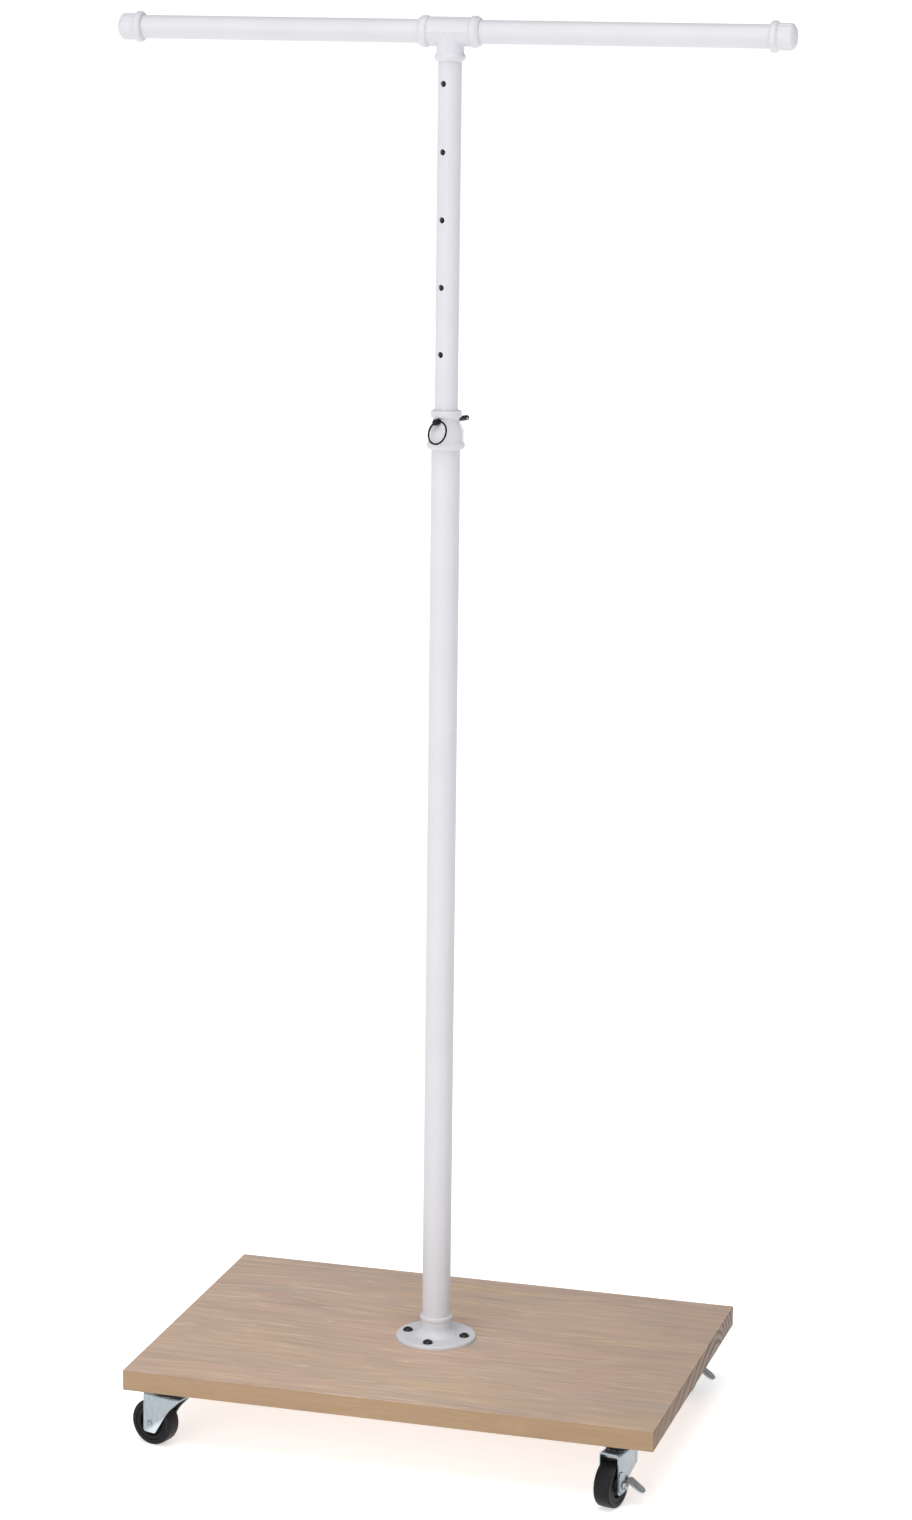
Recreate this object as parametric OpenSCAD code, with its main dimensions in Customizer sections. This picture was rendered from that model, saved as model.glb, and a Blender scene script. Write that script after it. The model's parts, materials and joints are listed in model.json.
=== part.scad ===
// Two-way garment rack: a telescoping pipe-style post with a crossbar of two
// arms, standing on a wooden base that rolls on four swivel casters.
// +X runs along the crossbar, -Y is the front and +Z is up. The origin is on the
// floor, on the axis of the post. Millimetres.

/* [Base] */
// Length of the wooden base along X
base_l = 635; // [610:5:700]
// Depth of the wooden base along Y
base_w = 432; // [420:2:480]
// Thickness of the wooden base
base_t = 25; // [22:1:30]

/* [Post] */
// Height of the crossbar's axis above the floor, with the pin in its hole as built
bar_z = 1639; // [1630:1:1660]
// Height of the lock pin's axis above the floor
pin_z = 1200; // [1190:1:1205]
// Outside diameter of the lower pole (1 in pipe)
lower_od = 33.4; // [33.2:0.1:33.6]
// Outside diameter of the upper pole and the arms (3/4 in pipe)
upper_od = 26.7; // [26.5:0.1:26.8]
// Wall thickness of the poles and the arms
wall = 2; // [1.8:0.1:2]
// Distance between two height settings
hole_pitch = 76.2; // [70:0.1:76.2]
// Height settings above the pin's present hole
holes_above = 5; // [3:1:5]
// Height settings below the pin's present hole
holes_below = 1; // [0:1:1]
// Diameter of the holes for the lock pin
hole_d = 7.2; // [7:0.1:7.4]

/* [Crossbar] */
// Length of the crossbar from the end of one cap to the end of the other
bar_l = 792; // [700:2:900]
// Half the length of the tee along the crossbar
tee_half = 36; // [34:1:38]
// Height of the tee from the crossbar's axis to the end of its branch
tee_drop = 33; // [31:1:34]
// Length of an end cap
cap_l = 30; // [28:1:32]

/* [Fittings] */
// Diameter of the bands round the ends of the tee and the caps
band_d = 36; // [35:0.5:37]
// Outside diameter of the tee's and the caps' bodies
body_d = 31.4; // [30.8:0.2:32]
// Height of the reducing coupling between the two poles
coupling_h = 44.5; // [44:0.5:46]
// Height of the coupling above the pin's axis
coupling_top = 12.5; // [12:0.5:13]
// Outside diameter of the floor flange
flange_d = 95; // [92:1:100]
// Thickness of the floor flange's disc
flange_t = 5; // [4:0.5:6]
// Height of the floor flange with its hub
flange_h = 29; // [26:1:32]
// Diameter of the circle that the flange's four screws stand on
flange_pcd = 70; // [68:1:72]

/* [Lock pin] */
// Turn of the pin from the front towards the left arm
pin_turn = 18.8; // [10:0.2:28]
// Diameter of the lock pin
pin_d = 6.3; // [6:0.1:6.4]
// Reach of the pin's tip behind the post's axis
pin_reach = 44; // [40:1:48]
// Roll of the pin about its own length, which tilts the ring's eye
pin_roll = 23.6; // [0:0.2:30]
// Mean diameter of the pull ring
ring_d = 26.4; // [25:0.2:28]
// Diameter of the pull ring's wire
ring_wire = 2.2; // [1.8:0.1:2.2]
// Lean of the pull ring's lower side away from the post
ring_lean = 19.7; // [15:0.1:30]

/* [Casters] */
// Height of a caster from the floor to the underside of the base
caster_h = 74; // [73:1:78]
// Diameter of a wheel
wheel_d = 55; // [51:1:57]
// Width of a wheel's tread
wheel_w = 20; // [18:1:20]
// Distance from a caster's kingpin back to its axle
trail = 19; // [17:1:21]
// Distance of the kingpins from the base's ends
inset_x = 46; // [46:0.5:60]
// Distance of the kingpins from the base's long sides
inset_y = 30; // [30:0.5:40]
// Direction in which the front left wheel trails
turn_fl = 163; // [0:1:359]
// Direction in which the front right wheel trails
turn_fr = 257; // [0:1:359]
// Direction in which the back left wheel trails
turn_bl = 77; // [0:1:359]
// Direction in which the back right wheel trails
turn_br = 258; // [0:1:359]

/* [Hidden] */
$fn = 96;
CORNERS = ["fl", "fr", "bl", "br"];
BRAKED = ["fr", "br"];

WHITE = [0.90, 0.90, 0.92];
WOOD = [0.72, 0.63, 0.54];
ZINC = [0.72, 0.75, 0.78];
BLACK = [0.09, 0.09, 0.10];
BRASS = [0.78, 0.62, 0.32];
NYLON = [0.85, 0.84, 0.80];

// Clearance between parts that slide or turn freely, and on a running fit
free_gap = 0.3;
run_gap = 0.06;

base_top = caster_h + base_t;
lower_r = lower_od / 2;
upper_r = upper_od / 2;
body_r = body_d / 2;
band_r = band_d / 2;
hole_zs = [for (k = [-holes_below : holes_above]) pin_z + k * hole_pitch];

// Post: where the tubes end inside their fittings
engage = 16;
coupling_z1 = pin_z + coupling_top;
coupling_z0 = coupling_z1 - coupling_h;
lower_z0 = base_top + 3;
lower_z1 = coupling_z0 + 22;
upper_z0 = pin_z - holes_below * hole_pitch - 50;
upper_z1 = bar_z - tee_drop + engage;
glide_t = 6;
glide_spigot = 15;
arm_x0 = tee_half - engage;
arm_x1 = bar_l / 2 - cap_l + engage;

// Coupling's profile, measured up from its lower end
low_band_h = 9;
low_band_r = lower_r + 5;
top_band_h = 8.5;
neck_r = upper_r + 2.2;
flare_z0 = coupling_h - 23.5;
flare_z1 = coupling_h - 12;
flare_r = lower_r + 2.1;
rib_r = lower_r + 2.7;
rib_t = 3;

// Flange and its screws
hub_r = lower_r + 1.8;
collar_r = lower_r + 2.6;
collar_h = 5;
fillet_h = 5;
fillet_r = 25;
screw_r = 3;
screw_head_r = 6;
screw_head_h = 3.6;
socket_af = 4;
insert_r = 4.5;
insert_l = 13;

// Lock pin, in a frame with the pin along Y and its head at -Y
head_y0 = -23.2;
head_y1 = -16;
head_r = 3.7;
eye_y = -20;
eye_r = 1.8;
ball_y = pin_reach - 6;
ball_r = 1.6;
ball_proud = 0.35;
ball_x = pin_d / 2 + ball_proud - ball_r;
pocket_x = -pin_d / 2 + 0.8;

// Casters, in a frame with the kingpin on Z and the wheel trailing towards +X
plate_l = 60;
plate_w = 42;
plate_t = 2.5;
plate_z = caster_h - plate_t;
plate_hole_x = 23;
plate_hole_y = 14;
plate_hole_r = 1.9;
wood_screw_l = 15;
race_drop = 6.5;
fork_z = plate_z - race_drop;
axle_z = wheel_d / 2;
sheet = 2;
leg_in = wheel_w / 2 + 1;
leg_out = leg_in + sheet;
foot_r = 3.5;
foot_z = axle_z - 11;
foot_front = 6.5;
fork_front = -25.5;
fork_back = trail + 8;
waist = [trail - 27, axle_z + 19];
brow = [fork_front + 5.5, axle_z + 15];
brow_toe = [trail - 22, axle_z + 6];
skirt_r = 19;
skirt_t = 2;
skirt_h = 5;
swivel_ball_r = 3;
swivel_ball_pcd = 26;
swivel_ball_count = 12;
kingpin_r = 4;
kingpin_head_r = 8;
kingpin_head_h = 2.6;
axle_r = 3;
bush_r = 4.5;
hub_w = wheel_w + 0.8;
lever_y = leg_out + free_gap;
lever_t = 2;
lever_hub_r = 9;
tab_w = 14;
tab_l = 25;
tab_x = trail - 12;
tab_z = axle_z + 3.5;
tab_slope = 32;
nut_y = lever_y + lever_t + free_gap;
nut_h = 4.4;
nut_af = 8;

function corner_x(c) = (c[1] == "l" ? -1 : 1) * (base_l / 2 - inset_x);
function corner_y(c) = (c[0] == "f" ? -1 : 1) * (base_w / 2 - inset_y);
function corner_turn(c) = c == "fl" ? turn_fl : c == "fr" ? turn_fr : c == "bl" ? turn_bl : turn_br;
function is_braked(c) = c[1] == "r";

// ---- helpers ----

// A rectangle from one corner to the other with its corners rounded
module round_rect(lo, hi, r) {
    translate([lo.x + r, lo.y])
        square([hi.x - lo.x - 2 * r, hi.y - lo.y]);
    translate([lo.x, lo.y + r])
        square([hi.x - lo.x, hi.y - lo.y - 2 * r]);
    for (x = [lo.x + r, hi.x - r], y = [lo.y + r, hi.y - r])
        translate([x, y])
            circle(r);
}

// A round band from z0 to z1 with a rounded rim
module band(r, z0, z1, edge) {
    rotate_extrude()
        intersection() {
            round_rect([-r, z0], [r, z1], edge);
            translate([0, z0])
                square([r, z1 - z0]);
        }
}

module tube(r, wall_t, z0, z1) {
    translate([0, 0, z0])
        difference() {
            cylinder(r = r, h = z1 - z0);
            translate([0, 0, -1])
                cylinder(r = r - wall_t, h = z1 - z0 + 2);
        }
}

// Turns something built along Z so that it lies along X, at the crossbar's height
module along_bar() {
    translate([0, 0, bar_z])
        rotate([0, 90, 0])
            children();
}

module at_flange_screws() {
    for (a = [0 : 90 : 270])
        rotate([0, 0, a])
            translate([flange_pcd / 2, 0, 0])
                children();
}

// Places something built round the pin's axis, with the pin along Y
module at_pin() {
    rotate([0, 0, -pin_turn])
        translate([0, 0, pin_z])
            children();
}

// In the pin's frame, places something built round the eye, with the eye along X
module at_eye() {
    translate([0, eye_y, 0])
        rotate([0, -pin_roll, 0])
            children();
}

// A hole along Y through the post
module cross_hole(r, z) {
    translate([0, 0, z])
        rotate([90, 0, 0])
            cylinder(r = r, h = 80, center = true);
}

module at_corner(c) {
    translate([corner_x(c), corner_y(c), 0])
        children();
}

module at_caster(c) {
    at_corner(c)
        rotate([0, 0, corner_turn(c)])
            children();
}

module at_plate_screws() {
    for (c = CORNERS, x = [-plate_hole_x, plate_hole_x], y = [-plate_hole_y, plate_hole_y])
        at_corner(c)
            translate([x, y, 0])
                children();
}

// A round body on the wheel's axis, from y0 to y1
module on_axle(r, y0, y1) {
    translate([trail, y0, axle_z])
        rotate([-90, 0, 0])
            cylinder(r = r, h = y1 - y0);
}

// ---- base ----

module base_board() {
    color(WOOD)
        difference() {
            translate([-base_l / 2, -base_w / 2, caster_h])
                cube([base_l, base_w, base_t]);
            at_flange_screws()
                translate([0, 0, base_top - insert_l])
                    cylinder(r = insert_r, h = insert_l + 1);
            at_plate_screws()
                translate([0, 0, caster_h - 1])
                    cylinder(r = plate_hole_r, h = wood_screw_l + 1);
        }
}

module insert_nuts() {
    color(BRASS)
        at_flange_screws()
            tube(insert_r, insert_r - screw_r, base_top - insert_l, base_top);
}

module floor_flange() {
    color(WHITE)
        difference() {
            translate([0, 0, base_top])
                union() {
                    band(flange_d / 2, 0, flange_t, 1.5);
                    translate([0, 0, flange_t])
                        cylinder(r1 = fillet_r, r2 = hub_r, h = fillet_h);
                    cylinder(r = hub_r, h = flange_h - 1);
                    band(collar_r, flange_h - collar_h, flange_h, 1.2);
                }
            translate([0, 0, lower_z0])
                cylinder(r = lower_r, h = flange_h);
            translate([0, 0, base_top - 1])
                cylinder(r = lower_r - wall, h = flange_h);
            at_flange_screws()
                translate([0, 0, base_top - 1])
                    cylinder(r = screw_r + free_gap, h = flange_t + 8);
        }
}

module flange_screws() {
    color(BLACK)
        at_flange_screws()
            translate([0, 0, base_top + flange_t])
                difference() {
                    union() {
                        translate([0, 0, -flange_t - insert_l + 1])
                            cylinder(r = screw_r, h = flange_t + insert_l);
                        intersection() {
                            cylinder(r = screw_head_r, h = screw_head_h);
                            translate([0, 0, screw_head_h - 7.5])
                                sphere(r = 7.5);
                        }
                    }
                    translate([0, 0, screw_head_h - 2.2])
                        cylinder(r = socket_af / 2 / cos(30), h = 3, $fn = 6);
                }
}

// ---- post ----

module lower_pole() {
    color(WHITE)
        tube(lower_r, wall, lower_z0, lower_z1);
}

module coupling_rib() {
    rotate([90, 0, 0])
        linear_extrude(rib_t, center = true)
            polygon([
                [upper_r + 1, flare_z1 + 2],
                [neck_r, flare_z1 + 2],
                [rib_r, flare_z0 + 3],
                [rib_r, low_band_h - 1],
                [lower_r + 1, low_band_h - 1],
                [lower_r + 1, flare_z0 - 3]
            ]);
}

module reducing_coupling() {
    color(WHITE)
        difference() {
            translate([0, 0, coupling_z0])
                union() {
                    band(low_band_r, 0, low_band_h, 2);
                    cylinder(r = flare_r, h = flare_z0);
                    translate([0, 0, flare_z0])
                        cylinder(r1 = flare_r, r2 = neck_r, h = flare_z1 - flare_z0);
                    cylinder(r = neck_r, h = coupling_h - 1);
                    band(band_r, coupling_h - top_band_h, coupling_h, 2);
                    for (a = [0, 180])
                        rotate([0, 0, a])
                            coupling_rib();
                }
            translate([0, 0, coupling_z0 - 1])
                cylinder(r = lower_r, h = lower_z1 - coupling_z0 + 1);
            cylinder(r = upper_r + free_gap, h = coupling_z1 + 1);
            at_pin()
                cross_hole(hole_d / 2, 0);
        }
}

module upper_pole() {
    color(WHITE)
        difference() {
            tube(upper_r, wall, upper_z0, upper_z1);
            rotate([0, 0, -pin_turn])
                for (z = hole_zs)
                    cross_hole(hole_d / 2, z);
        }
}

// Nylon glide in the lower end of the upper pole, which centres it in the lower pole
module pole_glide() {
    color(NYLON)
        difference() {
            union() {
                translate([0, 0, upper_z0 - glide_t])
                    cylinder(r = lower_r - wall - free_gap, h = glide_t);
                translate([0, 0, upper_z0])
                    cylinder(r = upper_r - wall, h = glide_spigot);
            }
            translate([0, 0, upper_z0 - glide_t - 1])
                cylinder(r = upper_r - 2 * wall - 2, h = glide_t + glide_spigot + 2);
        }
}

// ---- crossbar ----

// One banded socket of the tee, built along +Z from the middle of the tee
module tee_socket(reach, r, band_w) {
    cylinder(r = body_r, h = reach - 1);
    band(r, reach - band_w, reach, 2);
}

module tee() {
    color(WHITE)
        difference() {
            along_bar()
                for (a = [0, 180])
                    rotate([a, 0, 0])
                        tee_socket(tee_half, band_r, 11);
            along_bar()
                for (s = [-1, 1])
                    translate([0, 0, s * tee_half])
                        cylinder(r = upper_r, h = 2 * engage, center = true);
            along_bar()
                cylinder(r = upper_r - wall, h = 2 * tee_half, center = true);
            translate([0, 0, bar_z - tee_drop - 1])
                cylinder(r = upper_r - wall, h = tee_drop);
        }
    color(WHITE)
        difference() {
            translate([0, 0, bar_z])
                rotate([180, 0, 0])
                    tee_socket(tee_drop, band_r - 0.5, 7.5);
            along_bar()
                cylinder(r = body_r - 1, h = 2 * tee_half, center = true);
            translate([0, 0, bar_z - tee_drop - 1])
                cylinder(r = upper_r, h = engage + 1);
            translate([0, 0, bar_z - tee_drop - 1])
                cylinder(r = upper_r - wall, h = tee_drop);
        }
}

module arm(side) {
    color(WHITE)
        along_bar()
            mirror([0, 0, side < 0 ? 1 : 0])
                tube(upper_r, wall, arm_x0, arm_x1);
}

module cap(side) {
    dome_r = 26;
    color(WHITE)
        along_bar()
            mirror([0, 0, side < 0 ? 1 : 0])
                translate([0, 0, bar_l / 2 - cap_l])
                    difference() {
                        union() {
                            band(band_r - 0.3, 0, 9.5, 2);
                            intersection() {
                                union() {
                                    cylinder(r = body_r - 0.6, h = cap_l);
                                    for (a = [0 : 90 : 270])
                                        rotate([0, 0, a])
                                            translate([body_r - 3, -1.5, 0])
                                                cube([3.2, 3, cap_l - 5]);
                                }
                                translate([0, 0, cap_l - dome_r])
                                    sphere(r = dome_r);
                            }
                        }
                        translate([0, 0, -1])
                            cylinder(r = upper_r, h = engage + 1);
                        cylinder(r = upper_r - wall, h = engage + 8);
                    }
}

// ---- lock pin ----

module lock_pin() {
    color(BLACK)
        at_pin()
            difference() {
                union() {
                    rotate([-90, 0, 0])
                        translate([0, 0, head_y1 - 1])
                            cylinder(r = pin_d / 2, h = pin_reach - 2 - head_y1 + 1);
                    translate([0, pin_reach - 2, 0])
                        rotate([-90, 0, 0])
                            cylinder(r1 = pin_d / 2, r2 = pin_d / 2 - 1.2, h = 2);
                    rotate([-90, 0, 0])
                        band(head_r, head_y0, head_y1, 1);
                }
                at_eye()
                    rotate([0, 90, 0])
                        cylinder(r = eye_r, h = 20, center = true);
                translate([pocket_x, ball_y, 0])
                    rotate([0, 90, 0])
                        cylinder(r = ball_r + 0.1, h = pin_d);
            }
}

module detent_spring() {
    spring_r = 1.3;
    color(ZINC)
        at_pin()
            translate([pocket_x, ball_y, 0])
                rotate([0, 90, 0])
                    difference() {
                        cylinder(r = spring_r, h = ball_x - ball_r - pocket_x + 0.3);
                        translate([0, 0, -1])
                            cylinder(r = spring_r - 0.5, h = 4);
                        translate([0, 0, ball_x - pocket_x])
                            sphere(r = ball_r);
                    }
}

module detent_ball() {
    color(ZINC)
        at_pin()
            translate([ball_x, ball_y, 0])
                sphere(r = ball_r);
}

module pull_ring() {
    color(BLACK)
        at_pin()
            at_eye()
                rotate([-ring_lean, 0, 0])
                    translate([0, 0, -ring_d / 2])
                        rotate([90, 0, 0])
                            rotate_extrude()
                                translate([ring_d / 2, 0])
                                    circle(d = ring_wire);
}

// ---- casters ----

module caster_plate(c) {
    color(ZINC)
        at_corner(c)
            difference() {
                union() {
                    translate([0, 0, plate_z])
                        linear_extrude(plate_t)
                            round_rect([-plate_l / 2, -plate_w / 2], [plate_l / 2, plate_w / 2], 6);
                    tube(skirt_r, skirt_t, plate_z - skirt_h, plate_z + 1);
                }
                translate([0, 0, plate_z - 1])
                    cylinder(r = kingpin_r, h = plate_t + 2);
                for (x = [-plate_hole_x, plate_hole_x], y = [-plate_hole_y, plate_hole_y])
                    translate([x, y, plate_z - 1])
                        cylinder(r = plate_hole_r + free_gap, h = plate_t + 2);
            }
}

module caster_screws() {
    head_r = 3.6;
    head_h = 2;
    color(ZINC)
        at_plate_screws()
            union() {
                translate([0, 0, plate_z])
                    cylinder(r = plate_hole_r, h = plate_t + wood_screw_l);
                intersection() {
                    translate([0, 0, plate_z - head_h])
                        cylinder(r = head_r, h = head_h);
                    translate([0, 0, plate_z - head_h + 4.6])
                        sphere(r = 4.6);
                }
            }
}

module kingpins() {
    color(ZINC)
        for (c = CORNERS)
            at_corner(c) {
                translate([0, 0, fork_z - sheet - free_gap])
                    cylinder(r = kingpin_r, h = caster_h - fork_z + sheet + free_gap);
                band(kingpin_head_r, fork_z - sheet - free_gap - kingpin_head_h, fork_z - sheet - free_gap, 0.8);
            }
}

// Outline of a fork's leg: upright at the back, hollowed at the front down to a blunt foot with
// round corners. The leg of a braked caster has a square brow behind its brake lever.
module leg_outline(c) {
    heel = [fork_back - foot_r, foot_z + foot_r];
    toe = [trail - foot_front, foot_z + foot_r];
    slope = [toe.x - waist.x, waist.y - toe.y];
    lean = atan2(slope.x, slope.y) - asin(foot_r / norm(slope));
    brow_top = fork_z - (brow.x - fork_front) * (fork_z - waist.y) / (waist.x - fork_front);
    polygon([
        [fork_front, fork_z],
        [fork_back, fork_z],
        [fork_back, heel.y],
        [heel.x, foot_z],
        [toe.x, foot_z],
        [toe.x - foot_r * cos(lean), toe.y - foot_r * sin(lean)],
        waist
    ]);
    if (is_braked(c))
        polygon([
            [brow.x, brow_top],
            brow,
            brow_toe,
            [trail, brow_toe.y],
            [trail, brow_top]
        ]);
    for (corner = [heel, toe])
        translate(corner)
            circle(foot_r);
}

module fork(c) {
    color(ZINC)
        at_caster(c)
            difference() {
                union() {
                    translate([fork_front, -leg_out, fork_z - sheet])
                        cube([fork_back - fork_front, 2 * leg_out, sheet]);
                    for (y = [leg_out, -leg_in])
                        translate([0, y, 0])
                            rotate([90, 0, 0])
                                linear_extrude(sheet)
                                    leg_outline(c);
                }
                translate([0, 0, fork_z - sheet - 1])
                    cylinder(r = kingpin_r + run_gap, h = sheet + 2);
                on_axle(axle_r, -leg_out - 1, leg_out + 1);
            }
}

module swivel_balls(c) {
    color(ZINC)
        at_caster(c)
            for (i = [0 : swivel_ball_count - 1])
                rotate([0, 0, i * 360 / swivel_ball_count])
                    translate([swivel_ball_pcd / 2, 0, fork_z + swivel_ball_r])
                        sphere(r = swivel_ball_r);
}

// A riveted axle on a plain caster, a longer bolt for the lever and nut on a braked one
module axle(c) {
    end_y = is_braked(c) ? nut_y + nut_h + 1.2 : leg_out + 1.2;
    color(ZINC)
        at_caster(c)
            union() {
                on_axle(axle_r, -leg_out, end_y);
                translate([trail, 0, axle_z])
                    rotate([-90, 0, 0])
                        band(5.5, -leg_out - 2.2, -leg_out, 1);
                if (!is_braked(c))
                    on_axle(axle_r + 0.8, leg_out, end_y);
            }
}

module axle_nut(c) {
    color(ZINC)
        at_caster(c)
            difference() {
                translate([trail, nut_y, axle_z])
                    rotate([-90, 0, 0])
                        cylinder(r = nut_af / 2 / cos(30), h = nut_h, $fn = 6);
                on_axle(axle_r, nut_y - 1, nut_y + nut_h + 1);
            }
}

module wheel(c) {
    rim_in = 14;
    web_w = 11;
    color(BLACK)
        at_caster(c)
            translate([trail, 0, axle_z])
                rotate([90, 0, 0])
                    rotate_extrude()
                        difference() {
                            union() {
                                round_rect([rim_in, -wheel_w / 2], [wheel_d / 2, wheel_w / 2], 2);
                                translate([bush_r, -web_w / 2])
                                    square([rim_in, web_w]);
                                translate([bush_r, -hub_w / 2])
                                    square([4.5, hub_w]);
                            }
                            translate([rim_in + 4, -wheel_w])
                                square([1, 0.5 * wheel_w - 0.6]);
                        }
}

module wheel_bush(c) {
    color(ZINC)
        at_caster(c)
            difference() {
                on_axle(bush_r, -hub_w / 2 - 0.1, hub_w / 2 + 0.1);
                on_axle(axle_r + run_gap, -hub_w, hub_w);
            }
}

module brake_lever(c) {
    color(ZINC)
        at_caster(c)
            difference() {
                union() {
                    on_axle(lever_hub_r, lever_y, lever_y + lever_t);
                    translate([tab_x - tab_w / 2, lever_y, tab_z - 7])
                        cube([trail - tab_x, lever_t, 8]);
                    translate([tab_x, lever_y + lever_t / 2, tab_z])
                        rotate([-tab_slope, 0, 0]) {
                            translate([-tab_w / 2, 0, -lever_t / 2])
                                cube([tab_w, tab_l - tab_w / 2, lever_t]);
                            translate([0, tab_l - tab_w / 2, -lever_t / 2])
                                cylinder(r = tab_w / 2, h = lever_t);
                        }
                }
                on_axle(axle_r + run_gap, lever_y - 1, lever_y + lever_t + 1);
                translate([tab_x, lever_y + lever_t / 2, tab_z])
                    rotate([-tab_slope, 0, 0])
                        translate([0, tab_l - tab_w / 2, -lever_t])
                            cylinder(r = 2.5, h = 2 * lever_t);
            }
}

base_board();
insert_nuts();
floor_flange();
flange_screws();
lower_pole();
reducing_coupling();
for (c = CORNERS)
    caster_plate(c);
caster_screws();
kingpins();
upper_pole();
pole_glide();
tee();
arm(-1);  // arm_left
arm(1);  // arm_right
cap(-1);  // cap_left
cap(1);  // cap_right
lock_pin();
detent_spring();
detent_ball();
pull_ring();
for (c = CORNERS)
    fork(c);
for (c = CORNERS)
    swivel_balls(c);
for (c = CORNERS)
    axle(c);
for (c = CORNERS)
    wheel(c);
for (c = CORNERS)
    wheel_bush(c);
for (c = BRAKED)
    axle_nut(c);
for (c = BRAKED)
    brake_lever(c);
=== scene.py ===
"""Looks of the rolling two-way garment rack: white pipe fittings on a wooden base with casters.

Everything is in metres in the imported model's frame: +X along the crossbar, -Y the front, +Z up,
with the origin on the floor under the post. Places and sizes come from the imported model.
"""

import json
import math

import bmesh
import bpy
from mathutils import Matrix, Vector


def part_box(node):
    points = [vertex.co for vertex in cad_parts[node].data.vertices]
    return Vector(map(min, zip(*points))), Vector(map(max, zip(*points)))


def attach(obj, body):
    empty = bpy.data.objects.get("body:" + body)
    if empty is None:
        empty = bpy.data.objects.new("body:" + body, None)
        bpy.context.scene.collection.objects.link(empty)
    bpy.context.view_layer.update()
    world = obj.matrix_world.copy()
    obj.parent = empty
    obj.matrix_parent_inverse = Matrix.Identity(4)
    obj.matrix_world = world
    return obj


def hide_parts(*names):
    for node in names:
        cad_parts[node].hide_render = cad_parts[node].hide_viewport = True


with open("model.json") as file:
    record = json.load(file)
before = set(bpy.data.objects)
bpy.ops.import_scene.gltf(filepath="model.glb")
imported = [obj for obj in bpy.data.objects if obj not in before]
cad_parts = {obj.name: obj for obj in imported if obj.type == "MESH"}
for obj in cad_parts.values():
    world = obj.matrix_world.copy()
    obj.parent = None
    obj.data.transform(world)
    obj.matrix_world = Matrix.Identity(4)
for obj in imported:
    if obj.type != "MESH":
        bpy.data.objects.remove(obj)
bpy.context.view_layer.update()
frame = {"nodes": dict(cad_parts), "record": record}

MM = 0.001
CORNERS = ("fl", "fr", "bl", "br")
BRAKED = ("fr", "br")
JOINTS = {joint["name"]: joint for joint in frame["record"]["behaviour"]["joints"]}


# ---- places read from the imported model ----

def low(node):
    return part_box(node)[0]


def high(node):
    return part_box(node)[1]


def middle(node):
    lo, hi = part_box(node)
    return (Vector(lo) + Vector(hi)) / 2


def span(node):
    return Vector(high(node)) - Vector(low(node))


# ---- mesh helpers ----

def fillet(corners, steps=5):
    """A path through (x, y) or (x, y, radius) corners, with an arc at each that has a radius."""
    path = []
    for i, corner in enumerate(corners):
        here = Vector(corner[:2])
        radius = corner[2] if len(corner) > 2 else 0
        if not radius or i in (0, len(corners) - 1):
            path.append(here)
            continue
        back = Vector(corners[i - 1][:2]) - here
        ahead = Vector(corners[i + 1][:2]) - here
        half = back.angle(ahead) / 2
        reach = min(radius / math.tan(half), back.length * 0.5, ahead.length * 0.5)
        radius = reach * math.tan(half)
        centre = here + (back.normalized() + ahead.normalized()).normalized() * (radius / math.sin(half))
        start = here + back.normalized() * reach - centre
        end = here + ahead.normalized() * reach - centre
        turn = start.angle_signed(end)
        for k in range(steps + 1):
            path.append(centre + Matrix.Rotation(-turn * k / steps, 2) @ start)
    return path


def fillet_loop(corners, steps=5):
    """A closed outline with an arc at each corner that has a radius."""
    return fillet([corners[-1], *corners, corners[0]], steps)[1:-1]


def new_object(name, mesh):
    made = bpy.data.objects.new(name, mesh)
    bpy.context.scene.collection.objects.link(made)
    return made


def from_bmesh(name, bm):
    bmesh.ops.recalc_face_normals(bm, faces=bm.faces)
    mesh = bpy.data.meshes.new(name)
    bm.to_mesh(mesh)
    bm.free()
    return new_object(name, mesh)


def lathe(name, profile, segments):
    """Spins a path of (radius, z) points round Z. A path that starts and ends on the axis is closed by it."""
    bm = bmesh.new()
    angles = [2 * math.pi * k / segments for k in range(segments)]
    rings = []
    for r, z in profile:
        if r < 1e-7:
            rings.append([bm.verts.new((0, 0, z))])
        else:
            rings.append([bm.verts.new((r * math.cos(a), r * math.sin(a), z)) for a in angles])
    closed = len(rings[0]) > 1 and len(rings[-1]) > 1
    pairs = list(zip(rings, rings[1:] + rings[:1])) if closed else list(zip(rings, rings[1:]))
    for one, two in pairs:
        for k in range(segments):
            n = (k + 1) % segments
            if len(one) == 1 and len(two) == 1:
                continue
            elif len(one) == 1:
                bm.faces.new((one[0], two[k], two[n]))
            elif len(two) == 1:
                bm.faces.new((one[k], one[n], two[0]))
            else:
                bm.faces.new((one[k], one[n], two[n], two[k]))
    bmesh.ops.remove_doubles(bm, verts=bm.verts, dist=1e-7)
    return from_bmesh(name, bm)


def prism(name, outline, low_z, high_z):
    """A flat outline of (x, y) points raised from low_z to high_z."""
    bm = bmesh.new()
    face = bm.faces.new([bm.verts.new((x, y, low_z)) for x, y in outline])
    raised = bmesh.ops.extrude_face_region(bm, geom=[face])["geom"]
    moved = [v for v in raised if isinstance(v, bmesh.types.BMVert)]
    bmesh.ops.translate(bm, verts=moved, vec=(0, 0, high_z - low_z))
    return from_bmesh(name, bm)


def settle(obj):
    """Applies the object's modifiers to its mesh."""
    graph = bpy.context.evaluated_depsgraph_get()
    mesh = bpy.data.meshes.new_from_object(obj.evaluated_get(graph))
    obj.modifiers.clear()
    obj.data = mesh
    return obj


def move(obj, matrix):
    obj.data.transform(matrix)
    return obj


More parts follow.
